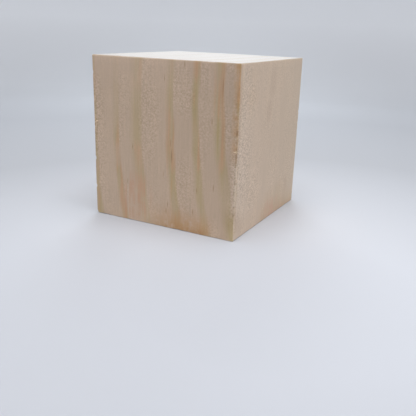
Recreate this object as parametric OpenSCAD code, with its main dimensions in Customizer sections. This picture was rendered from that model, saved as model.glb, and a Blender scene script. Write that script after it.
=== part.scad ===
// Wooden cube: one block of pale softwood, ripped square and then cut to length.
// The grain stands upright, so the top and the base are the two sawn ends.
// Millimetres. The origin is the middle of the base, +Z runs up the grain,
// the front is at -Y and the right side is at +X.

/* [Block] */
// Width across the grain, from the left side to the right side
block_w = 75; // [40:0.5:150]
// Depth across the grain, from the front to the back
block_d = 75; // [40:0.5:150]
// Length along the grain, from the base to the top
block_h = 76; // [40:0.5:150]

/* [Edges] */
// Radius of the four upright edges, eased along the grain after ripping
side_edge_r = 0.4; // [0.1:0.1:4]
// Radius of the edges round the top and the base, eased after cutting to length
end_edge_r = 0.3; // [0.1:0.1:4]

/* [Knocked corner] */
// How far the knock on the lower front left corner runs across the base
knock_across = 0.9; // [0.6:0.1:8]
// How far that knock runs up the grain
knock_up = 2.2; // [0.6:0.1:12]

/* [Hidden] */
// Segments of a full circle in the preview
$fn = 48;
// Colour of the bare wood
wood_colour = [0.83, 0.74, 0.64];
// Outward direction of the knocked face, and how far it lies inside the corner
knock_dir = [-1 / knock_across, -1 / knock_across, -1 / knock_up];
knock_depth = 1 / norm(knock_dir);
// Side of the waste that is cut away beyond the knocked face
knock_waste = 2 * (knock_across + knock_up);

// A rectangle about the origin with its four corners rounded
module rounded_rectangle(w, d, r) {
    square([w - 2 * r, d], center = true);
    square([w, d - 2 * r], center = true);
    for (x = [-1, 1], y = [-1, 1])
        translate([x * (w / 2 - r), y * (d / 2 - r)])
            circle(r = r);
}

// The ripped section, standing as long as the block: its upright edges are eased
module ripped_section() {
    linear_extrude(height = block_h)
        rounded_rectangle(block_w, block_d, side_edge_r);
}

// The outline of one face, carried right through the block at a height of half
// its length: it eases the edges round the top and the base
module end_easing(w, through) {
    translate([0, 0, block_h / 2])
        rotate([90, 0, 0])
            linear_extrude(height = through, center = true)
                rounded_rectangle(w, block_h, end_edge_r);
}

// What the knock took off the lower front left corner
module knocked_corner() {
    translate([-block_w / 2, -block_d / 2, 0])
        rotate([0, acos(knock_dir.z / norm(knock_dir)), atan2(knock_dir.y, knock_dir.x)])
            translate([-knock_waste / 2, -knock_waste / 2, -knock_depth])
                cube(knock_waste);
}

// The block: a section with eased edges, cut to length, less its knocked corner
module cube_block() {
    color(wood_colour)
        difference() {
            intersection() {
                ripped_section();
                end_easing(block_w, block_d);
                rotate([0, 0, 90])
                    end_easing(block_d, block_w);
            }
            knocked_corner();
        }
}

cube_block();
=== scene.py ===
import math

import bpy
import numpy as np
from bpy.props import FloatProperty, FloatVectorProperty, IntProperty, PointerProperty
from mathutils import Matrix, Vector, noise


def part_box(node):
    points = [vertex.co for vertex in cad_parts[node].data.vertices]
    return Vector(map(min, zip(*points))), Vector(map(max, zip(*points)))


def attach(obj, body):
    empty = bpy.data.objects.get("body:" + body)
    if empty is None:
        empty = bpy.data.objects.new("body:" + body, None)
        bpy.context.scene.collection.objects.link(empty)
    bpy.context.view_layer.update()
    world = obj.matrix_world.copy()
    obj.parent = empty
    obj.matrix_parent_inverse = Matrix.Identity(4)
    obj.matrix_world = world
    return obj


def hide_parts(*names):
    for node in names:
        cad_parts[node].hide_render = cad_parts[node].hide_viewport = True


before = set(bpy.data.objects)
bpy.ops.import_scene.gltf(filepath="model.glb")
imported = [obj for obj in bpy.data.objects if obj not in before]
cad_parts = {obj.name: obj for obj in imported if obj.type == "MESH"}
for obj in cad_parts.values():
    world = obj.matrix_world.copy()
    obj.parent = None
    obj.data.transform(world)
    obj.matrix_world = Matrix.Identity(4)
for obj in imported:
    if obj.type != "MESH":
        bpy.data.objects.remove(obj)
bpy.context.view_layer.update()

bl_info = {
    "name": "Wooden Cube",
    "version": (1, 0, 0),
    "blender": (4, 5, 0),
    "location": "View3D > Sidebar > Wooden Cube",
    "description": "Builds a sawn softwood block with its torn edges, solid grain and studio",
    "category": "Object",
}

# The block's corners at rest. X runs to the right, the front is at -Y and the grain runs up Z.
LOW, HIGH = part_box("cube_block")
MM = 0.001


# ---------------------------------------------------------------- sizes and colours

def length(name, description, millimetres, least=0.0, most=1000.0):
    """A length property, given in millimetres and kept in metres."""
    return FloatProperty(
        name=name, description=description, default=millimetres * MM,
        min=least * MM, max=most * MM, subtype="DISTANCE", unit="LENGTH", precision=5)


def colour(name, description, value):
    """A colour property, linear red, green and blue."""
    return FloatVectorProperty(
        name=name, description=description, default=value, min=0.0, max=1.0, size=3, subtype="COLOR")


def share(name, description, value, most=1.0):
    """A plain factor without a unit."""
    return FloatProperty(
        name=name, description=description, default=value, min=0.0, max=most, subtype="FACTOR")


def count(name, description, value, most):
    """A whole number."""
    return IntProperty(name=name, description=description, default=value, min=0, max=most)


def watts(name, description, value):
    """A lamp's power."""
    return FloatProperty(name=name, description=description, default=value, min=0.0, unit="POWER")


class WoodBlockShape(bpy.types.PropertyGroup):
    """Edges, tears and mesh of the block. Its overall size comes from the frame."""

    side_edge: length("Upright edge", "Radius of the four edges along the grain", 0.4, 0.1, 4)
    end_edge: length("End edge", "Radius of the edges round the top and the base", 0.3, 0.1, 4)
    knock_across: length("Knock across", "Knocked corner, measured along the base", 0.9, 0.1, 8)
    knock_up: length("Knock up", "Knocked corner, measured up the grain", 2.2, 0.1, 12)
    tear_width: length("Tear width", "Most that the saw tore from the front at the right edge", 0.45, 0, 3)
    tear_depth: length("Tear depth", "Most that it tore from the right face along that edge", 2.1, 0, 3)
    tear_top: length("Tear top", "How far up the right edge the tear runs", 33, 5, 70)
    nicks: count("Nicks", "Small nicks on each edge", 4, 40)
    fibres: count("Loose fibres", "Fibres that stand off the tear", 150, 1000)
    bow: length("Bow", "How far the faces are out of flat", 0.10, 0, 1)
    coarse_step: length("Coarse step", "Grid step in the middle of a face", 2.5, 0.5, 5)
    along_step: length("Step along the grain", "Grid step up the grain", 0.30, 0.1, 5)
    fine_step: length("Fine step", "Grid step at the torn edge and the splinters", 0.12, 0.05, 1)
    seed: count("Seed", "Seed of the random wear", 7, 10000)


class WoodBlockFinish(bpy.types.PropertyGroup):
    """Colours and figure of the wood."""

    early: colour("Early wood", "Pale wood of a ring's first growth", (0.616, 0.454, 0.323))
    late: colour("Late wood", "Olive tan wood of a ring's last growth", (0.505, 0.372, 0.185))
    late_red: colour("Late wood, reddish", "Reddish streaks in that late wood", (0.590, 0.355, 0.192))
    # The end grain is painted paler and greyer than bare wood, as a highlight on the top.
    end_grain: colour("End grain", "Dusty cut cells of the sawn ends", (0.595, 0.537, 0.488))
    end_late: colour("End grain, late wood", "Rings where the saw cut across them", (0.460, 0.355, 0.235))
    resin: colour("Resin", "Dark resin canals", (0.320, 0.150, 0.055))
    hollow: colour("Hollow", "Shaded wood at the bottom of a chip", (0.260, 0.150, 0.058))
    # A warm colour low on the front: partly stained wood, partly painted warm bounce light from below.
    stain_and_bounce: colour("Stain", "Warm stain where the front meets the base", (0.540, 0.290, 0.115))
    # Pinkish colour low on the front and the right face: partly stained wood, partly painted warm bounce
    # light from below.
    blush_and_bounce: colour("Blush", "Pinkish stain in the early wood", (0.610, 0.345, 0.215))
    fibre: colour("Fibre", "Fresh pale fibre along the tear", (0.790, 0.645, 0.500))
    # The splinters' fresh fibre is painted lighter, as a highlight where they catch the light from above.
    splinter: colour("Splinter", "Fresh pale fibre of the splinters", (0.930, 0.755, 0.540))
    pith: length("Pith distance", "From the block's middle to the tree's pith, on the left", 480, 60, 900)
    pith_back: length("Pith set back", "How far the pith lies behind the middle", 10, -200, 200)
    roughness: share("Roughness", "Roughness of the bare surface", 0.62)
    fuzz: share("Fuzz", "How much the fine nap of the sawn surface catches light from the side", 0.5)
    grain_depth: length("Grain depth", "Height of the sawn grain", 0.05, 0, 1)


class WoodBlockStage(bpy.types.PropertyGroup):
    """Floor, lamps and camera."""

    # The floor's colours paint a pool of light round the block and shade farther out.
    floor_colour: colour("Floor", "Colour of the floor round the block", (0.718, 0.739, 0.80))
    far_colour: colour("Far floor", "Colour of the floor farther out", (0.525, 0.538, 0.577))
    wall_colour: colour("Wall", "Colour of the cove above the floor", (0.90, 0.92, 0.96))
    cove_radius: length("Cove radius", "From the block to where the floor ends", 460, 200, 3000)
    overhead: watts("Overhead", "Power of the overhead lamp", 2.38)
    side: watts("Side", "Power of the lamp on the right", 0.08)
    back: watts("Back", "Power of the lamp behind, which skims the top", 0.74)
    surround: share("Surround", "Strength of the even light from all round", 0.278, 4.0)
    lens: FloatProperty(
        name="Lens", description="Focal length", default=47.22, min=10, max=300, unit="CAMERA")
    camera_place: FloatVectorProperty(
        name="Camera place", description="Where the camera stands",
        default=(0.13106, -0.24024, 0.08873), size=3, subtype="TRANSLATION", unit="LENGTH")
    camera_turn: FloatVectorProperty(
        name="Camera turn", description="Tilt up from straight down, roll and heading",
        default=(math.radians(71.790), math.radians(-1.724), math.radians(28.233)),
        size=3, subtype="EULER", unit="ROTATION")


# ---------------------------------------------------------------- shader expressions

class Socket:
    """A shader node's output in a Python expression: each operator adds its Math node."""

    def __init__(self, graph, output):
        self.graph = graph
        self.output = output

    def math(self, operation, *values, clamp=False):
        return self.graph.node("ShaderNodeMath", {"operation": operation, "use_clamp": clamp}, values)

    def __add__(self, other):
        return self.math("ADD", self, other)

    def __radd__(self, other):
        return self.math("ADD", other, self)

    def __sub__(self, other):
        return self.math("SUBTRACT", self, other)

    def __rsub__(self, other):
        return self.math("SUBTRACT", other, self)

    def __mul__(self, other):
        return self.math("MULTIPLY", self, other)

    def __rmul__(self, other):
        return self.math("MULTIPLY", other, self)

    def __pow__(self, other):
        return self.math("POWER", self, other)

    def __rpow__(self, other):
        return self.math("POWER", other, self)

    def __abs__(self):
        return self.math("ABSOLUTE", self)

    def clamped(self):
        """The value held between 0 and 1."""
        return self.math("ADD", self, 0.0, clamp=True)

    def root(self):
        return self.math("SQRT", self)

    def most(self, other):
        return self.math("MAXIMUM", self, other)


class Graph:
    """Writes the nodes of one material."""

    def __init__(self, name):
        self.material = bpy.data.materials.new(name)
        self.material.use_nodes = True
        self.tree = self.material.node_tree
        self.tree.nodes.clear()

    def node(self, kind, settings=None, inputs=(), output=0):
        """A node of that type. Its settings are set first. Its inputs are a sequence in order, or a
        dict by name or number, and hold values or sockets to link."""
        made = self.tree.nodes.new(kind)
        for key, value in (settings or {}).items():
            setattr(made, key, value)
        for key, value in inputs.items() if isinstance(inputs, dict) else enumerate(inputs):
            if isinstance(value, Socket):
                self.tree.links.new(value.output, made.inputs[key])
            else:
                made.inputs[key].default_value = value
        return Socket(self, made.outputs[output]) if made.outputs else None

    def mix(self, factor, first, second, blend="MIX"):
        """Two colours mixed by a factor. Its colour sockets share their names, so they go by number."""
        settings = {"data_type": "RGBA", "blend_type": blend, "clamp_factor": True}
        first, second = (c if isinstance(c, Socket) else (*c, 1.0) for c in (first, second))
        return self.node("ShaderNodeMix", settings, {0: factor, 6: first, 7: second}, output=2)

    def vector(self, x, y, z):
        return self.node("ShaderNodeCombineXYZ", None, (x, y, z))

    def separate(self, vector):
        """The three parts of a vector."""
        parts = self.node("ShaderNodeSeparateXYZ", None, (vector,)).output.node.outputs
        return [Socket(self, part) for part in parts]

    def place(self):
        """Each point's place on the object, in metres."""
        return self.separate(self.node("ShaderNodeTexCoord", output="Object"))

    def noise(self, place, detail=1.0, roughness=0.5):
        """Smooth noise about 0, mostly within a quarter of it."""
        inputs = {"Vector": place, "Scale": 1.0, "Detail": detail, "Roughness": roughness}
        return self.node("ShaderNodeTexNoise", {"noise_dimensions": "3D"}, inputs) - 0.5

    def mask(self, name):
        """A mask that the mesh carries."""
        return self.node("ShaderNodeAttribute", {"attribute_name": name}, output="Fac")

    def surface(self, sockets):
        """Ends the material in a Principled shader with these values and sockets."""
        shader = self.node("ShaderNodeBsdfPrincipled", None, sockets)
        self.node("ShaderNodeOutputMaterial", None, {"Surface": shader})
        return self.material


def rise(value, start, end):
    """0 at start, 1 at end and straight between them. Works in either direction."""
    return ((value - start) * (1.0 / (end - start))).clamped()


def blur_spot(across, up, spot, ragged=0.0):
    """1 inside an upright oval, falling softly to 0 a little beyond it. ragged shifts its outline."""
    middle, level, breadth, height = spot
    away = ((across - middle) * (1 / breadth)) ** 2.0 + ((up - level) * (1 / height)) ** 2.0
    return rise(away + ragged, 1.9, 0.3)


def highest(masks):
    """The greatest of several masks."""
    top = masks[0]
    for mask in masks[1:]:
        top = top.most(mask)
    return top


# ---------------------------------------------------------------- the wood's figure, in millimetres

# Noises that run through the wood: how fast each changes to the right, backwards and up the grain,
# then its detail and its roughness.
NOISES = {
    "fibres": ((1.7, 1.7, 0.05), 3.0, 0.6),
    "hairs": ((4.0, 4.0, 0.13), 2.0, 0.6),
    "flecks": ((1.3, 1.05, 1.45), 1.0, 0.5),
    "patches": ((0.10, 0.10, 0.05), 1.0, 0.5),
    "streaks": ((0.75, 0.75, 0.035), 2.0, 0.55),
    "hue": ((0.13, 0.13, 0.07), 1.0, 0.5),
    "slow": ((0.03, 0.03, 0.055), 1.0, 0.5),
    "ragged": ((0.9, 0.9, 0.05), 2.0, 0.5),
    "vigour": ((0.06, 0.06, 0.05), 1.0, 0.5),
    "blotch": ((0.22, 0.22, 0.22), 3.0, 0.6),
    "pores": ((1.5, 1.5, 1.5), 2.0, 0.65),
    "rays": ((0.10, 2.2, 0.3), 2.0, 0.6),
    "shred": ((1.6, 1.6, 0.9), 3.0, 0.65),
}
# Late wood bands on the front face at its top, from the left: place from the middle, breadth of the
# slow inner side, and strength at the top, half way up and at the foot.
BANDS = (
    (-61.0, 4.0, 0.7, 0.7, 0.7), (-48.0, 4.0, 0.7, 0.7, 0.7), (-36.8, 2.6, 0.3, 0.55, 0.75),
    (-23.5, 3.0, 0.12, 0.68, 0.75), (-10.7, 6.2, 0.34, 0.60, 0.44), (6.0, 3.4, 0.36, 0.77, 0.6),
    (18.0, 2.9, 0.78, 0.76, 0.5), (29.7, 4.6, 0.75, 0.82, 0.75), (37.9, 2.2, 0.9, 0.8, 0.7),
    (49.0, 4.0, 0.7, 0.7, 0.7),
)
# Down the block the rings bow to the left and then lean to the right: a curve less a slope, over the
# whole height. The outer rings lean farther, by this share of their distance.
LEAN_CURVE, LEAN_SLOPE, LEAN_SPREAD = 10.5, 6.5, 0.15
# Resin canals cut by the front face: across from the middle, up from the base, length and breadth.
CANALS = (
    (3.7, 11.4, 4.0, 0.7), (2.9, 8.2, 3.4, 0.6), (17.1, 10.1, 4.0, 0.6), (18.8, 20.3, 3.4, 0.7),
    (27.1, 22.8, 4.4, 0.7), (1.3, 25.3, 4.6, 0.5), (25.4, 51.5, 5.0, 0.6), (1.7, 68.0, 4.4, 0.5),
    (11.7, 74.2, 4.4, 0.6), (5.6, 34.2, 8.0, 1.0), (5.1, 40.0, 5.0, 0.5), (-18.5, 19.0, 4.0, 0.5),
    (-15.5, 36.0, 4.0, 0.6), (30.0, 66.0, 9.0, 0.6),
)
# How deep they lie in the wood.
CANAL_DEPTH = 1.5
# Spots on the front where the saw lifted the fibres: across, up, half breadth and half height.
LIFTED_FRONT = (
    (-35.5, 47.0, 4.0, 15.0), (-6.0, 54.0, 5.0, 20.0), (11.8, 63.0, 4.0, 9.0), (12.6, 21.0, 5.0, 11.0),
)
# The same on the right face, where the first number runs backwards from its middle.
LIFTED_RIGHT = (
    (-31.0, 42.0, 8.0, 31.0), (-27.0, 60.0, 8.0, 9.0), (-3.0, 51.0, 8.0, 11.0), (-18.0, 20.0, 8.0, 9.0),
)
# Spots on the front where the late wood is a scorched orange brown.
SCORCHED = (
    (28.8, 54.0, 4.0, 22.0), (-21.0, 18.0, 3.4, 18.0), (17.4, 73.0, 2.8, 5.0), (37.5, 67.0, 2.2, 6.0),
    (3.4, 50.0, 1.2, 9.0), (-10.9, 69.0, 1.2, 5.0), (6.2, 34.5, 1.8, 7.0), (19.4, 34.0, 1.3, 5.0),
)
# Spots on the front where it is a dull olive.
OLIVE = (
    (35.0, 8.0, 7.0, 20.0), (37.5, 53.0, 3.0, 7.0), (7.0, 61.0, 3.5, 8.0), (-13.0, 49.0, 4.0, 10.0),
    (27.4, 44.0, 1.8, 12.0), (20.5, 20.0, 3.0, 8.0),
)
# Spots on the front where it is faint.
FADED = (
    (-25.0, 52.0, 4.0, 8.0), (-24.5, 31.0, 3.0, 5.0), (33.5, 20.0, 3.5, 9.0), (35.5, 18.0, 4.5, 6.0),
)
# Faint dark smudges on the right face. The one low by the front edge is painted shade.
SMUDGES_AND_SHADE = (
    (25.0, 14.0, 2.2, 5.0), (-1.5, 66.0, 4.0, 7.0), (-4.0, 54.0, 3.0, 5.0), (-34.5, 7.5, 5.0, 6.0),
)
# Pinkish stains low on the front and low on the right face, partly painted warm bounce light from below.
BLUSH_AND_BOUNCE_FRONT, BLUSH_AND_BOUNCE_RIGHT = (-14.5, 12.0, 8.0, 9.0), (6.5, 3.0, 9.5, 5.5)
# A spot of painted light low on the front.
PALE_SPOT = (-13.0, 8.0, 9.0, 9.0)
# Where the front turns lighter or darker: from one height to another, and from one place across to
# another, and how much lighter it is beyond both.
FRONT_SHADES = (
    (62.0, 76.0, 25.0, -15.0, 0.065), (5.0, 50.0, 0.0, 32.0, -0.08),
    (15.0, 28.0, 29.5, 33.5, -0.035), (63.0, 72.0, 20.0, 30.0, 0.035),
)
# The middle of the saw blade whose marks cross the ends: to the right and backwards.
BLADE_X, BLADE_Y = -190.0, 60.0
# How torn the loose fibres and the splinters are. The block's own mask runs from 0 to 1, and the painted
# shade in the gaps of torn wood fades out above that.
FIBRE_FRESHNESS, SPLINTER_FRESHNESS = 0.45, 1.5


class Wood:
    """Solid wood with one pattern of growth rings all through it, so that each face shows its own cut."""

    def __init__(self, graph, finish):
        self.graph = graph
        self.finish = finish
        self.x, self.y, self.z = (axis * (1.0 / MM) for axis in graph.place())
        self.front = LOW.y / MM
        self.right = HIGH.x / MM
        self.fibres = self.noise("fibres")
        self.hairs = self.noise("hairs")
        self.flecks = self.noise("flecks")
        self.patches = self.noise("patches")
        self.streaks = self.noise("streaks")
        self.pores = self.noise("pores")
        self.shred = self.noise("shred")
        self.torn = graph.mask("torn")
        self.hollow = graph.mask("hollow")
        self.outline = self.patches * 3.0
        self.at_front = self.by_front(2.0, 0.6)
        self.late, self.fresh = self.growth_rings()
        self.lifted = self.lifted_fibres()
        normal = graph.node("ShaderNodeNewGeometry", output="Normal")
        self.end = rise(abs(graph.separate(normal)[2]), 0.6, 0.9)
        self.marks = self.saw_marks()

    def noise(self, name):
        """One of the named noises."""
        (across, back, up), detail, roughness = NOISES[name]
        return self.graph.noise(
            self.graph.vector(self.x * across, self.y * back, self.z * up), detail, roughness)

    def by_front(self, deep, shallow=0.0):
        """1 down to the shallow distance below the front face, falling to 0 at the deep one."""
        return rise(self.y, self.front + deep, self.front + shallow)

    def by_right(self, deep, shallow=0.0):
        """The same below the right face."""
        return rise(self.x, self.right - deep, self.right - shallow)

    def front_spots(self, spots, ragged=0.0):
        return highest([blur_spot(self.x, self.z, spot, ragged) for spot in spots])

    def right_spots(self, spots, ragged=0.0):
        return highest([blur_spot(self.y, self.z, spot, ragged) for spot in spots])

    def ring_distance(self):
        """How far out from the pith each point grew, from the ring at the middle of the front's top."""
        x, y, z, front = self.x, self.y, self.z, self.front
        pith_x = -self.finish.pith / MM
        pith_y = self.finish.pith_back / MM
        start = math.hypot(pith_x, front - pith_y)
        radius = ((x - pith_x) ** 2.0 + (y - pith_y) ** 2.0).root() - start
        down = 1.0 - z * (MM / (HIGH.z - LOW.z))
        lean = down * (down * LEAN_CURVE - LEAN_SLOPE) * rise(radius, -41.0, -27.0)
        lean = lean + down * (radius - 5.0).most(0.0) * LEAN_SPREAD
        lean = lean * (1.0 - rise(y, front, front + 25.0) * 0.38)
        ring = radius - lean + self.noise("slow") * 2.2 + self.noise("ragged") * 1.3 + self.fibres * 1.3
        # Away from the front the left side has a swelling, which the left face cuts as a flame.
        swelling = self.graph.noise(self.graph.vector(7.3, y * 0.036, z * 0.020)) + 0.10
        return ring + swelling * 10.0 * (rise(y, front, front + 20.0) * rise(x, 5.0, -25.0))

    def growth_rings(self):
        """How late in its ring each point of the wood is, and how freshly a new ring has begun there."""
        ring = self.ring_distance()
        above = rise(self.z, 48.0, 66.0)
        below = rise(self.z, 26.0, 8.0)
        late, fresh = [], []
        for centre, breadth, top, middle, foot in BANDS:
            # Late wood comes slowly and ends sharply, where the next ring begins.
            inner = rise(ring, centre - breadth, centre - breadth * 0.35) ** 1.3
            outer = rise(ring, centre + 1.9, centre + 0.7)
            late.append(inner * outer * (middle + above * (top - middle) + below * (foot - middle)))
            fresh.append(rise(ring, centre + 9.0, centre + 2.0) * rise(ring, centre + 0.5, centre + 1.5))
        vigour = rise(self.noise("vigour"), -0.2, 0.2)
        return self.weathered(highest(late) * (0.85 + vigour * 0.3)), highest(fresh)

    def weathered(self, late):
        """The late wood with its streaks, weaker in spots, and bare along the right face's front edge."""
        late = late * (1.0 - self.front_spots(FADED) * self.at_front * 0.5)
        late = late * (1.0 + self.streaks * 1.6 + self.hairs * 0.8)
        beside = self.by_right(0.6, 0.1) * rise(self.y, self.front + 0.2, self.front + 0.6)
        at_foot = self.by_front(33.0, 27.0) * rise(self.z, 30.0, 14.0)
        return late * (1.0 - beside * self.by_front(16.0, 8.0).most(at_foot) * 0.9)

    def lifted_fibres(self):
        """How far the saw lifted the fibres: a little where a ring has just begun, more in some spots."""
        on_front = self.front_spots(LIFTED_FRONT, self.outline) * self.by_front(4.0, 1.0)
        on_right = self.right_spots(LIFTED_RIGHT, self.outline) * self.by_right(4.0, 1.0)
        lifted = (self.fresh * 0.5 + 0.1) * rise(self.patches, -0.10, 0.10)
        lifted = lifted.most(on_front * (0.58 + rise(self.x, -27.0, -33.0) * 0.3))
        return lifted.most(on_right * (1.2 - rise(self.y, -24.0, -8.0) * 0.75))

    def ringed(self):
        """Early and late wood. The late wood is olive here and reddish there, and more even deeper in."""
        finish, at_front = self.finish, self.at_front
        hue = self.noise("hue") * 0.45 + self.streaks * 0.55
        scorched = self.front_spots(SCORCHED) * at_front
        olive = self.front_spots(OLIVE) * at_front
        redness = rise(hue - olive * 0.2 + scorched * 0.11, -0.02, 0.11) * at_front
        redness = redness + (1.0 - at_front) * (0.6 + hue * 2.5)
        late_wood = self.graph.mix(redness.clamped(), finish.late, finish.late_red)
        return self.graph.mix(self.late.clamped(), finish.early, late_wood)

    def shaded(self, wood):
        """The same wood, lighter and darker in places: painted light at its foot and on the right face,
        painted shade towards the right face's back, a painted sheen greyest on the right near the front,
        and paler just under the top.
        """
        x, y, z, at_front = self.x, self.y, self.z, self.at_front
        tone = 1.0 + self.fibres * 0.19 + self.hairs * 0.21 + self.patches * 0.10
        for low, high, start, end, shade in FRONT_SHADES:
            tone = tone + at_front * (rise(z, low, high) * rise(x, start, end) * shade)
        # Painted light low on the front.
        tone = tone + at_front * (blur_spot(x, z, PALE_SPOT) * 0.045)
        on_right = self.by_right(3.0, 1.0)
        # Where painted shade falls on the right face towards its back, and where a painted sheen lies near
        # its front.
        far = on_right * rise(y, -30.0, 25.0)
        near = on_right * rise(y, -16.0, -32.0)
        # Painted light on the right face, more of it near its foot.
        tone = tone + on_right * (0.03 + rise(z, 25.0, 8.0) * 0.03)
        # Painted shade towards the back of the right face, less of it near the top.
        tone = tone - far * (0.09 - rise(z, 40.0, 70.0) * 0.05)
        # Paler just under the top. Painted light at the foot of each face, less of it to the right.
        tone = tone + rise(z, 72.5, 75.6) * 0.07 + rise(z, 1.6, 0.4) * 0.05
        tone = tone + rise(z, 9.0, 0.0) * (0.09 - rise(x, 20.0, 32.0) * 0.05)
        fleck = self.flecks * (0.05 + self.lifted * 0.90)
        # The painted sheen greys the right face near its front, and the painted shade there is warmer
        # towards its back.
        green = tone + fleck * 1.2 + near * 0.028
        blue = tone + fleck * 1.5 + near * 0.055 - far * 0.045 + at_front * rise(z, 60.0, 76.0) * 0.02
        return self.graph.mix(1.0, wood, self.graph.vector(tone + fleck, green, blue), "MULTIPLY")

    def with_canals(self, wood):
        """The same wood with dark resin canals: placed on the front, random elsewhere, few on the right."""
        x, y, z = self.x, self.y, self.z
        depth = ((y - self.front) * (1 / CANAL_DEPTH)) ** 2.0
        canals = []
        for across, up, long_side, breadth in CANALS:
            aside = ((x - across + self.hairs * 0.5) * (2 / breadth)) ** 2.0
            along = ((z - up) * (2 / long_side)) ** 2.0
            canals.append(1.0 - (aside + along + depth).root())
        inner = 1.0 - self.by_front(3.0, 1.5).most(self.by_right(3.0, 1.5) * 0.7)
        seams = self.graph.noise(self.graph.vector(x * 1.9 + 31.0, y * 1.9, z * 0.10))
        seam = rise(seams, 0.215, 0.28) * inner
        canal = (highest(canals) * 0.68).most(seam * 0.55)
        return self.graph.mix(canal.clamped(), wood, self.finish.resin)

    def stained(self, wood):
        """The same wood with warm and pinkish tints low down, partly stains and partly painted bounce
        light, and smudges, one of them painted shade.
        """
        x, z, finish, mix = self.x, self.z, self.finish, self.graph.mix
        blotch = self.noise("blotch")
        mottle = rise(blotch + self.fibres * 0.3 + self.hairs * 0.5, -0.25, 0.10)
        near_front = self.by_front(8.0)
        near_right = self.by_right(8.0)
        tongues = z + blotch * 14.0 + self.fibres * 8.0
        # Low on the front: stained wood and painted warm bounce light from below.
        warm = rise(tongues, 11.0, 2.5) * rise(x, -8.0, 4.0) * rise(x, 28.0, 22.0) * near_front
        # The warm tint also follows the upper half of the right edge.
        warm = warm.most(rise(x, 34.2, 36.2) * rise(z, 33.0, 42.0) * self.by_front(3.0) * 0.65)
        wood = mix((warm * mottle * 0.95).clamped(), wood, finish.stain_and_bounce)
        # Pinkish stains and painted warm bounce light, low on the front and the right face.
        blush_and_bounce = self.front_spots([BLUSH_AND_BOUNCE_FRONT], self.outline) * near_front * 0.75
        blush_and_bounce = blush_and_bounce.most(self.right_spots([BLUSH_AND_BOUNCE_RIGHT], self.outline) * near_right)
        wood = mix((blush_and_bounce * mottle * rise(self.streaks, -0.12, 0.06)).clamped(), wood, finish.blush_and_bounce)
        # Dark smudges, and painted shade low by the front edge.
        smudge_and_shade = self.right_spots(SMUDGES_AND_SHADE, self.outline) * near_right
        return mix((smudge_and_shade * (0.15 + self.hairs * 0.4)).clamped(), wood, finish.resin)

    def saw_marks(self):
        """Faint arcs that the blade left across the sawn ends."""
        reach = ((self.x - BLADE_X) ** 2.0 + (self.y - BLADE_Y) ** 2.0).root()
        return self.graph.noise(self.graph.vector(reach * 0.75, self.x * 0.02, self.z * 0.3), 2.0, 0.6)

    def sawn_end(self):
        """The rings cut across: paler and greyer, partly as a painted highlight, with open pores, fine rays
        and the marks of the saw.
        """
        cut_end = self.graph.mix((self.late * 0.7).clamped(), self.finish.end_grain, self.finish.end_late)
        tone = 1.0 + self.pores * 0.30 + self.noise("rays") * 0.10 + self.marks * 0.12
        tone = tone - rise(self.pores, -0.08, -0.18) * 0.14
        return self.graph.mix(1.0, cut_end, self.graph.vector(tone, tone, tone), "MULTIPLY")

    def torn_open(self, wood, fibre):
        """The same wood where it is torn: fresh and pale, with painted shade in the gaps between its fibres
        and in the chips under it.
        """
        torn, shred, mix = self.torn, self.shred, self.graph.mix
        wood = mix((torn * (0.45 + rise(shred, -0.06, 0.08) * 0.5)).clamped(), wood, fibre)
        # Painted shade in the gaps between torn fibres.
        gap = torn * rise(torn, SPLINTER_FRESHNESS - 0.1, 1.0) * rise(shred, -0.06, -0.16) * 0.4
        wood = mix(gap.clamped(), wood, self.finish.hollow)
        # Painted shade in the chips.
        return mix((self.hollow * (0.75 + shred * 1.2)).clamped(), wood, self.finish.hollow)

    def relief(self):
        """Height of the sawn surface in millimetres."""
        sides = self.fibres * 0.5 + self.hairs * 0.5 + self.flecks * (0.5 + self.lifted * 3.0)
        ends = self.pores * 2.0 + self.marks * 3.0
        height = sides * (1.0 - self.end) + self.end * ends + self.torn * self.shred * 4.0
        return height * (self.finish.grain_depth / MM)


def wood_material(finish, name, fibre, fuzz):
    """The wood. fibre is the colour of its torn fibre, and fuzz is how far its nap catches light."""
    graph = Graph(name)
    wood = Wood(graph, finish)
    sides = wood.stained(wood.with_canals(wood.shaded(wood.ringed())))
    bare = graph.mix(wood.end, sides, wood.sawn_end())
    bump = graph.node("ShaderNodeBump", None, {"Strength": 1.0, "Distance": MM, "Height": wood.relief()})
    return graph.surface({
        "Base Color": wood.torn_open(bare, fibre),
        "Roughness": finish.roughness + wood.fibres * 0.12 - wood.late * 0.06, "Normal": bump,
        "Specular IOR Level": 0.5, "Sheen Weight": fuzz, "Sheen Roughness": 0.4})


# ---------------------------------------------------------------- the block's mesh, in millimetres

# A length too small to matter, and the least reach of a cut. Both keep divisions safe.
TINY, LEAST_REACH = 1e-9, 1e-4
# How deep a cut makes the wood look fully torn, and a chip look like a hollow.
TORN_DEPTH, HOLLOW_DEPTH = 0.06, 0.08
# How fast a grid step grows with the distance from a finely gridded spot.
STEP_GROWTH = 0.3
# Middle of the block's base, in metres.
BASE_CENTRE = np.array([(LOW.x + HIGH.x) / 2, (LOW.y + HIGH.y) / 2, LOW.z])
# The block's corners as its mesh is made, from the middle of its base.
HALF = np.array([HIGH.x - LOW.x, HIGH.y - LOW.y]) / 2 / MM
BLOCK_LOW = np.array([-HALF[0], -HALF[1], 0.0])
BLOCK_HIGH = np.array([HALF[0], HALF[1], (HIGH.z - LOW.z) / MM])
# A face is an axis and the side of the block that it lies on.
LEFT, RIGHT, FRONT, BACK, BASE, TOP = (0, -1), (0, 1), (1, -1), (1, 1), (2, -1), (2, 1)
SIDE_EDGES = ((RIGHT, FRONT), (LEFT, FRONT), (RIGHT, BACK), (LEFT, BACK))
END_EDGES = (
    (TOP, FRONT), (TOP, RIGHT), (TOP, BACK), (TOP, LEFT), (BASE, FRONT), (BASE, RIGHT), (BASE, BACK),
    (BASE, LEFT),
)
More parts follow.
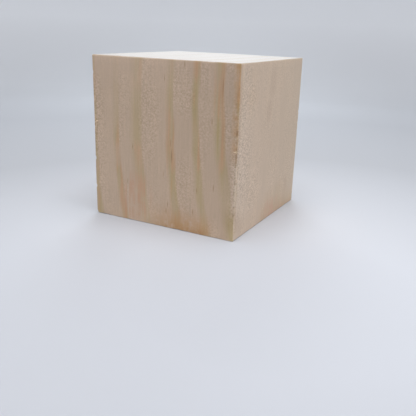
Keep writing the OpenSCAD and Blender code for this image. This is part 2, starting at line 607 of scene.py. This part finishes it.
# Chips that the saw left on the front right edge: middle up from the base, length along the edge, width on
# the front, depth on the right face, and the darkness of the painted shade in them.
CHIPS = (
    (66.0, 1.6, 0.45, 0.40, 0.3), (62.4, 1.4, 0.40, 0.40, 0.2), (56.4, 1.2, 0.35, 0.30, 0.1),
    (47.9, 3.4, 0.75, 0.40, 0.9), (44.0, 3.8, 0.75, 0.45, 0.5), (41.2, 2.2, 0.60, 0.35, 0.6),
    (38.0, 3.4, 0.65, 0.45, 0.7), (35.0, 5.4, 0.50, 0.35, 0.6), (29.0, 1.2, 0.60, 0.90, 0.4),
    (26.2, 1.5, 0.70, 1.10, 0.5), (22.5, 1.1, 0.60, 0.90, 0.4), (18.6, 1.0, 0.60, 1.00, 0.4),
    (15.8, 1.3, 0.80, 1.30, 0.5), (12.1, 1.3, 0.80, 1.20, 0.5), (8.6, 1.0, 0.60, 0.90, 0.4),
)
# The tear is whole from this height to its top, and fades out over this length beyond them. The last
# number is its least share, where it is narrowest.
TEAR_START, TEAR_FADE, TEAR_LEAST = 2.5, 4.0, 0.30
# Splinters stand by the front's right and left edges, at these heights. Each has the places of its
# root, bend and tip from there, then its width and its thickness.
SPLINTER_UP, LEFT_HOOK_UP = 40.0, 45.75
RIGHT_SPLINTERS = (
    ((-0.1, 0.15, -0.1), (-0.7, -0.75, 0.1), (-1.75, -0.05, 0.05), 0.42, 0.16),
    ((-0.2, 0.10, 0.5), (-0.4, -0.30, 0.3), (-0.90, -0.25, 0.10), 0.22, 0.15),
)
LEFT_SPLINTERS = (
    ((1.0, 0.1, -0.5), (1.45, -0.70, -0.1), (2.5, -0.50, 0.4), 1.30, 0.22),
    ((1.2, 0.1, -0.6), (1.70, -0.35, -1.8), (1.4, -0.15, -3.2), 0.32, 0.16),
)
# The way a splinter's flat side faces.
SPLINTER_FACING = (0.0, -0.65, 0.76)


def wood_mesh(name, points, faces, torn, hollow):
    """A mesh of points from the middle of the block's base, with the masks that its wood reads."""
    mesh = bpy.data.meshes.new(name)
    mesh.from_pydata((np.array(points) * MM + BASE_CENTRE).tolist(), [], faces)
    for key, values in (("torn", torn), ("hollow", hollow)):
        mask = mesh.attributes.new(key, "FLOAT", "POINT")
        mask.data.foreach_set("value", np.broadcast_to(values, len(points)).astype(np.float32).ravel())
    mesh.shade_smooth()
    mesh.update()
    return mesh


def grid_lines(low, high, coarse, spots):
    """Line places from low to high. Each spot is a place, the reach of its fine step, and that step."""
    t = np.linspace(low, high, 20001)
    step = np.full_like(t, coarse)
    for place, reach, fine in spots:
        away = np.maximum(np.abs(t - place) - reach, 0.0)
        step = np.minimum(step, fine + STEP_GROWTH * away)
    passed = np.concatenate([[0.0], np.cumsum(np.diff(t) / step[1:])])
    steps = int(math.ceil(passed[-1]))
    return np.interp(np.linspace(0.0, passed[-1], steps + 1), passed, t)


def box_lattice(xs, ys, zs):
    """Points and outward quads of the six faces of a box that is gridded on the given lines."""
    skin = np.zeros((len(xs), len(ys), len(zs)), bool)
    for axis in range(3):
        np.moveaxis(skin, axis, 0)[[0, -1]] = True
    index = np.cumsum(skin.ravel()).reshape(skin.shape) - 1
    points = np.stack([line[skin] for line in np.meshgrid(xs, ys, zs, indexing="ij")], 1)
    quads = []
    for axis in range(3):
        for end in (0, -1):
            sheet = np.take(index, end, axis)
            ring = [sheet[:-1, :-1], sheet[1:, :-1], sheet[1:, 1:], sheet[:-1, 1:]]
            if (end == -1) == (axis == 1):
                ring.reverse()
            quads.append(np.stack(ring, -1).reshape(-1, 4))
    return points, np.concatenate(quads)


def round_sides(points, side_r):
    """Rounds a box's upright edges. Returns places across, outward ways and how far inside each lies."""
    flat = points[:, :2]
    inner = np.clip(flat, -(HALF - side_r), HALF - side_r)
    away = flat - inner
    furthest = np.abs(away).max(axis=1)
    out = away / np.maximum(np.linalg.norm(away, axis=1), TINY)[:, None]
    outline = inner + out * furthest[:, None]
    out[furthest < TINY] = 0.0
    return outline, out, np.maximum(side_r - furthest, 0.0)


def round_edges(points, side_r, end_r):
    """Rounds a box's upright edges, then the edges round its ends. Returns places and outward ways."""
    outline, out, inset = round_sides(points, side_r)
    height = BLOCK_HIGH[2]
    up = np.where(points[:, 2] > height / 2, 1.0, -1.0)
    fall = np.minimum(points[:, 2], height - points[:, 2])
    across = np.clip(end_r - inset, 0.0, None)
    along = np.clip(end_r - fall, 0.0, None)
    turn = (across > 0) & (along > 0)
    grow = np.where(turn, end_r / np.maximum(np.hypot(across, along), TINY), 1.0)
    new_inset = np.where(turn, end_r - across * grow, inset)
    new_fall = np.where(turn, end_r - along * grow, fall)
    shaped = np.empty_like(points)
    shaped[:, :2] = outline - out * (new_inset - inset)[:, None]
    shaped[:, 2] = np.where(up > 0, height - new_fall, new_fall)
    on_end = fall < TINY
    weight_side = np.where(turn, across, np.where(on_end, 0.0, 1.0))
    weight_end = np.where(turn, along, np.where(on_end, 1.0, 0.0))
    facing = np.column_stack([out * weight_side[:, None], up * weight_end])
    return shaped, facing / np.maximum(np.linalg.norm(facing, axis=1, keepdims=True), TINY)


def wander(places, period, seed):
    """Smooth random values from 0 to 1 along a line, with a new one each period."""
    lead, many = 20.0, 400
    values = np.random.default_rng(seed).random(many)
    t = (places + lead) / period
    first = np.floor(t).astype(int)
    part = t - first
    eased = part * part * (3 - 2 * part)
    return values[first % many] * (1 - eased) + values[(first + 1) % many] * eased


def window(places, start, end, soft):
    """1 from start to end, falling to 0 over a soft margin."""
    return np.clip(np.minimum(places - start, end - places) / soft + 1.0, 0.0, 1.0)


def dish(places, middle, long_side):
    """1 at the middle of a chip, falling to 0 at its ends along a round curve."""
    return np.sqrt(np.clip(1.0 - ((places - middle) / (long_side / 2)) ** 2, 0.0, 1.0))


def inside(points, face):
    """How deep each point lies below a face."""
    axis, side = face
    return BLOCK_HIGH[axis] - points[:, axis] if side > 0 else points[:, axis] - BLOCK_LOW[axis]


def pare(points, edge, across, along, gain=1.0):
    """Cuts an edge back to a slanted plane that reaches across from its first face and along from its
    second. Returns how deep it cut."""
    first, second = edge
    across = np.maximum(across, LEAST_REACH)
    along = np.maximum(along, LEAST_REACH)
    slant = 1.0 - inside(points, first) / across - inside(points, second) / along
    cut = np.maximum(slant, 0.0) / (1.0 / across + 1.0 / along)
    for axis, side in edge:
        points[:, axis] -= side * cut * gain
    return cut


def edge_line(edge):
    """The axis that an edge runs along."""
    return 3 - edge[0][0] - edge[1][0]


def tear_reach(z, shape):
    """How far the tear on the front right edge reaches on the front and on the right face."""
    ragged = window(z, TEAR_START, shape.tear_top / MM, TEAR_FADE)
    lumps = 0.55 * wander(z, 2.3, shape.seed) + 0.45 * wander(z, 0.9, shape.seed + 1)
    hollows = wander(z, 1.9, shape.seed + 2)
    width = ragged * (TEAR_LEAST + (1 - TEAR_LEAST) * lumps) * shape.tear_width / MM
    depth = ragged * (TEAR_LEAST + (1 - TEAR_LEAST) * hollows) * shape.tear_depth / MM
    return width, depth


def block_grid(shape):
    """The block's skin as a grid, finest where it is torn, with its edges rounded."""
    (left, front, base), (right, back, top) = BLOCK_LOW, BLOCK_HIGH
    fine = shape.fine_step / MM
    coarse = shape.coarse_step / MM
    xs = grid_lines(left, right, coarse, [(right, 2.0, fine), (left, 1.0, 0.2)])
    ys = grid_lines(front, back, coarse, [(front, 2.0, fine), (back, 0.5, 0.2)])
    zs = grid_lines(base, top, shape.along_step / MM, [
        (base, 0.5, fine), (top, 0.5, fine), (SPLINTER_UP, 1.5, fine), (LEFT_HOOK_UP, 1.0, 0.15)])
    points, quads = box_lattice(xs, ys, zs)
    points, facing = round_edges(points, shape.side_edge / MM, shape.end_edge / MM)
    return points, facing, quads


def knock_corner(points, shape):
    """Presses the lower front left corner back to its knocked face."""
    across, up = shape.knock_across / MM, shape.knock_up / MM
    corner = (points - BLOCK_LOW) / np.array([across, across, up])
    points += (np.maximum(1.0 - corner.sum(axis=1), 0.0) / (2.0 / across + 1.0 / up))[:, None]


def tear_edge(points, shape):
    """Tears the front right edge: chipped half way up and ragged below. Returns the two masks."""
    edge = (RIGHT, FRONT)
    z = points[:, 2].copy()
    chip_width = np.zeros_like(z)
    chip_depth = np.zeros_like(z)
    dark = np.zeros_like(z)
    for middle, long_side, width, depth, darkness in CHIPS:
        bite = dish(z, middle, long_side)
        chip_width = np.maximum(chip_width, bite * width)
        chip_depth = np.maximum(chip_depth, bite * depth)
        dark = np.maximum(dark, bite * darkness)
    tear_width, tear_depth = tear_reach(z, shape)
    grit = np.array([noise.noise(Vector((x * 1.9, y * 1.9, z * 0.8))) for x, y, z in points])
    cut = pare(points, edge, tear_width, tear_depth, 1.0 + 0.5 * grit)
    # The tear is freshest on the right face, a little way back from the front.
    torn = np.clip(cut / TORN_DEPTH, 0.0, 1.0)
    torn *= np.interp(points[:, 1] - BLOCK_LOW[1], [0.2, 0.8], [0.4, 1.0])
    cut = pare(points, edge, chip_width, chip_depth, 1.15)
    return torn, np.clip(cut / HOLLOW_DEPTH, 0.0, 1.0) * dark


def wear_ends(points, shape):
    """Wears the edges round the ends a little, where the saw cut the block to length."""
    for edge in END_EDGES:
        along = points[:, edge_line(edge)] + 40.0
        worn = 0.16 + 0.26 * wander(along, 2.7, shape.seed + 3 + edge[1][0])
        pare(points, edge, worn, worn)


def nick_edges(points, shape):
    """Small nicks on every edge."""
    dice = np.random.default_rng(shape.seed + 10)
    for edge in SIDE_EDGES + END_EDGES:
        line = edge_line(edge)
        for _ in range(shape.nicks):
            middle = dice.uniform(BLOCK_LOW[line] + 2, BLOCK_HIGH[line] - 2)
            bite = dish(points[:, line], middle, dice.uniform(0.6, 2.6))
            pare(points, edge, bite * dice.uniform(0.4, 0.75), bite * dice.uniform(0.4, 0.75))


def block_mesh(shape):
    """The sawn block as one closed mesh: a little out of flat, knocked, torn, worn and nicked."""
    points, facing, quads = block_grid(shape)
    slow = np.array([noise.noise(Vector(point) * 0.03) for point in points])
    points += facing * (slow * shape.bow / MM)[:, None]
    knock_corner(points, shape)
    torn, hollow = tear_edge(points, shape)
    wear_ends(points, shape)
    nick_edges(points, shape)
    return wood_mesh("sawn_block", points, quads.tolist(), torn, hollow)


# ---------------------------------------------------------------- splinters and fibres, in millimetres

def sliver(root, bend, tip, out, width, thick):
    """A tapered shred of fibre: it leaves the wood at its root and curves over to its tip."""
    sides, rings = 6, 6
    root, bend, tip, out = (np.array(p, float) for p in (root, bend, tip, out))
    t = np.linspace(0.0, 1.0, rings + 1)[:-1, None]
    path = (1 - t) ** 2 * root + 2 * t * (1 - t) * bend + t ** 2 * tip
    ahead = (1 - t) * (bend - root) + t * (tip - bend)
    across = np.cross(ahead, out)
    across /= np.linalg.norm(across, axis=1, keepdims=True)
    lift = np.cross(across, ahead)
    lift /= np.linalg.norm(lift, axis=1, keepdims=True)
    taper = np.sqrt(1.0 - t[:, 0] ** 2)
    turns = np.arange(sides) * (2 * math.pi / sides)
    points = [
        centre + side * (w * math.cos(a) * width / 2) + up * (w * math.sin(a) * thick / 2)
        for centre, side, up, w in zip(path, across, lift, taper) for a in turns]
    points += [tip, root]
    tip_index, root_index = rings * sides, rings * sides + 1
    faces = []
    for ring in range(rings):
        for k in range(sides):
            a, b = ring * sides + k, ring * sides + (k + 1) % sides
            faces.append((a, b, b + sides, a + sides) if ring < rings - 1 else (a, b, tip_index))
    faces += [((k + 1) % sides, k, root_index) for k in range(sides)]
    return points, faces


def splinters():
    """The splinters by the front's right and left edges: how fresh each is, then its sliver's form."""
    (left, front, _), (right, _, _) = BLOCK_LOW, BLOCK_HIGH
    for corner, forms in (
            ((right, front, SPLINTER_UP), RIGHT_SPLINTERS), ((left, front, LEFT_HOOK_UP), LEFT_SPLINTERS)):
        for *places, width, thick in forms:
            root, bend, tip = (np.array(corner) + place for place in places)
            yield SPLINTER_FRESHNESS, root, bend, tip, SPLINTER_FACING, width, thick


def loose_fibres(shape):
    """The fibres that stand off the tear, given in the same way."""
    dice = np.random.default_rng(shape.seed + 20)
    diagonal = np.array([1.0, -1.0, 0.0]) / math.sqrt(2)
    for _ in range(shape.fibres):
        z = dice.uniform(3.0, shape.tear_top / MM)
        across, back = (float(reach[0]) for reach in tear_reach(np.array([z]), shape))
        on_front = dice.random() * 0.7
        start = np.array([BLOCK_HIGH[0] - across * on_front, BLOCK_LOW[1] + back * (1 - on_front), z])
        long_side = dice.uniform(0.5, 1.7)
        way = np.array([dice.normal(0, 0.25), dice.normal(0, 0.25), dice.choice([-1.0, 1.0])]) * long_side
        stand = diagonal * dice.uniform(0.05, 0.32)
        root = start - diagonal * 0.08
        bend = start + way * 0.5 + stand
        tip = start + way + stand * dice.uniform(0.2, 1.4)
        width, thick = dice.uniform(0.09, 0.20), dice.uniform(0.06, 0.11)
        yield FIBRE_FRESHNESS, root, bend, tip, diagonal, width, thick


def fibre_mesh(shape):
    """All splinters and loose fibres in one mesh."""
    points, faces, fresh = [], [], []
    for freshness, *form in [*splinters(), *loose_fibres(shape)]:
        new_points, new_faces = sliver(*form)
        faces += [tuple(k + len(points) for k in face) for face in new_faces]
        points += new_points
        fresh += [freshness] * len(new_points)
    return wood_mesh("torn_fibres", points, faces, fresh, 0.0)


# ---------------------------------------------------------------- the stage, in metres

# A painted pool of light on the floor: it is lightest round this place, and painted shade darkens it from
# the first distance to the second.
LIT_X, LIT_Y, LIT_REACH, DIM_REACH = 0.068, -0.069, 0.057, 0.218
# Radius of the curve from the floor to the wall, height of the wall, and straight parts of the round.
COVE_BEND, COVE_HEIGHT, COVE_PARTS = 0.22, 0.45, 96
# The lamps, named as their powers are: place, width, angle of the cone of light in degrees, and tint.
LAMPS = {
    "overhead": ((0.06, -0.08, 0.62), 0.50, 180, (1.0, 1.0, 1.0)),
    "side": ((0.50, -0.08, 0.24), 0.28, 100, (0.98, 0.98, 0.92)),
    "back": ((-0.26, 0.50, 0.34), 0.40, 120, (0.90, 0.965, 1.0)),
}


def cove_material(stage):
    """Pale matt card: lightest on the wall, with a painted pool of light round the block and painted shade
    between them.
    """
    graph = Graph("pale_card")
    x, y, z = graph.place()
    out = ((x - LIT_X) ** 2.0 + (y - LIT_Y) ** 2.0).root()
    # A painted pool of light round the block, fading to painted shade.
    floor = graph.mix(rise(out, LIT_REACH, DIM_REACH), stage.floor_colour, stage.far_colour)
    wall = rise(out, 0.40, 0.62) * 0.37 + rise(z, 0.0, 0.10) * 0.63
    tint = graph.mix(wall, floor, stage.wall_colour)
    return graph.surface({"Base Color": tint, "Roughness": 0.9, "Specular IOR Level": 0.1})


def cove_mesh(stage):
    """A round floor that curves up into a wall on all sides, so that it looks the same from any side."""
    turns = np.linspace(0.0, math.pi / 2, 13)[1:]
    outline = [(r, 0.0) for r in np.linspace(0.02, stage.cove_radius, 12)]
    outline += [
        (stage.cove_radius + COVE_BEND * math.sin(a), COVE_BEND - COVE_BEND * math.cos(a)) for a in turns]
    outline.append((stage.cove_radius + COVE_BEND, COVE_HEIGHT))
    points = [(0.0, 0.0, LOW.z)]
    for radius, up in outline:
        for k in range(COVE_PARTS):
            a = 2 * math.pi * k / COVE_PARTS
            points.append((radius * math.cos(a), radius * math.sin(a), LOW.z + up))
    faces = [(0, 1 + k, 1 + (k + 1) % COVE_PARTS) for k in range(COVE_PARTS)]
    for row in range(len(outline) - 1):
        for k in range(COVE_PARTS):
            a, b = 1 + row * COVE_PARTS + k, 1 + row * COVE_PARTS + (k + 1) % COVE_PARTS
            faces.append((a, a + COVE_PARTS, b + COVE_PARTS, b))
    mesh = bpy.data.meshes.new("cove")
    mesh.from_pydata(points, [], faces)
    mesh.shade_smooth()
    return mesh


def area_lamp(name, power, place, width, spread, tint):
    """A soft round lamp aimed at the middle of the block. spread is the angle of its cone of light."""
    lamp = bpy.data.lights.new(name, "AREA")
    lamp.shape = "DISK"
    lamp.size = width
    lamp.energy = power
    lamp.spread = math.radians(spread)
    lamp.color = tint
    holder = bpy.data.objects.new(name, lamp)
    holder.location = place
    holder.rotation_euler = ((LOW + HIGH) / 2 - Vector(place)).to_track_quat("-Z", "Y").to_euler()
    holder.visible_camera = False
    bpy.context.scene.collection.objects.link(holder)


def surround_light(strength):
    """Even white light from all round."""
    world = bpy.data.worlds.new("surround")
    world.use_nodes = True
    back = world.node_tree.nodes["Background"]
    back.inputs["Color"].default_value = (1.0, 1.0, 1.0, 1.0)
    back.inputs["Strength"].default_value = strength
    bpy.context.scene.world = world


def stand_camera(stage):
    """The camera, where the stage has it."""
    camera = bpy.data.objects.new("camera", bpy.data.cameras.new("camera"))
    camera.data.lens = stage.lens
    camera.data.sensor_width = 36.0
    camera.data.clip_start = 0.01
    camera.data.clip_end = 20.0
    camera.location = stage.camera_place
    camera.rotation_euler = stage.camera_turn
    bpy.context.scene.collection.objects.link(camera)
    bpy.context.scene.camera = camera


# ---------------------------------------------------------------- operators and panel

def add_piece(name, mesh, material):
    """An object of that mesh and material, linked into the scene."""
    piece = bpy.data.objects.new(name, mesh)
    bpy.context.scene.collection.objects.link(piece)
    piece.data.materials.append(material)
    return piece


class WOODCUBE_OT_block(bpy.types.Operator):
    """Build the sawn block and its wood"""

    bl_idname = "woodcube.block"
    bl_label = "Build block"

    def execute(self, context):
        shape = context.scene.wood_block_shape
        finish = context.scene.wood_block_finish
        pine = wood_material(finish, "pine", finish.fibre, finish.fuzz)
        block = add_piece("sawn_block", block_mesh(shape), pine)
        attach(block, "root")
        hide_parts("cube_block")
        return {"FINISHED"}


class WOODCUBE_OT_fibres(bpy.types.Operator):
    """Build the splinters and loose fibres of the torn edges"""

    bl_idname = "woodcube.fibres"
    bl_label = "Build torn fibres"

    def execute(self, context):
        shape = context.scene.wood_block_shape
        finish = context.scene.wood_block_finish
        torn_pine = wood_material(finish, "torn_pine", finish.splinter, 0.0)
        fibres = add_piece("torn_fibres", fibre_mesh(shape), torn_pine)
        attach(fibres, "root")
        return {"FINISHED"}


class WOODCUBE_OT_stage(bpy.types.Operator):
    """Build the floor, the lamps and the camera"""

    bl_idname = "woodcube.stage"
    bl_label = "Build stage"

    def execute(self, context):
        stage = context.scene.wood_block_stage
        cove = add_piece("cove", cove_mesh(stage), cove_material(stage))
        surround_light(stage.surround)
        for name, form in LAMPS.items():
            area_lamp(name, getattr(stage, name), *form)
        stand_camera(stage)
        context.scene.view_settings.view_transform = "Standard"
        return {"FINISHED"}


class WOODCUBE_PT_panel(bpy.types.Panel):
    """Lists the block, its wood and the stage"""

    bl_label = "Wooden Cube"
    bl_space_type = "VIEW_3D"
    bl_region_type = "UI"
    bl_category = "Wooden Cube"

    def draw(self, context):
        scene = context.scene
        groups = (
            ("Shape", scene.wood_block_shape, ()),
            ("Wood", scene.wood_block_finish, (WOODCUBE_OT_block, WOODCUBE_OT_fibres)),
            ("Stage", scene.wood_block_stage, (WOODCUBE_OT_stage,)),
        )
        for title, group, operators in groups:
            box = self.layout.box()
            box.label(text=title)
            for key in group.__annotations__:
                box.prop(group, key)
            for operator in operators:
                box.operator(operator.bl_idname)


CLASSES = (
    WoodBlockShape, WoodBlockFinish, WoodBlockStage, WOODCUBE_OT_block, WOODCUBE_OT_fibres,
    WOODCUBE_OT_stage, WOODCUBE_PT_panel,
)


def register():
    for cls in CLASSES:
        bpy.utils.register_class(cls)
    bpy.types.Scene.wood_block_shape = PointerProperty(type=WoodBlockShape)
    bpy.types.Scene.wood_block_finish = PointerProperty(type=WoodBlockFinish)
    bpy.types.Scene.wood_block_stage = PointerProperty(type=WoodBlockStage)


def unregister():
    del bpy.types.Scene.wood_block_stage
    del bpy.types.Scene.wood_block_finish
    del bpy.types.Scene.wood_block_shape
    for cls in reversed(CLASSES):
        bpy.utils.unregister_class(cls)


def main():
    register()
    bpy.ops.woodcube.stage()
    bpy.ops.woodcube.block()
    bpy.ops.woodcube.fibres()


if __name__ == "__main__":
    main()
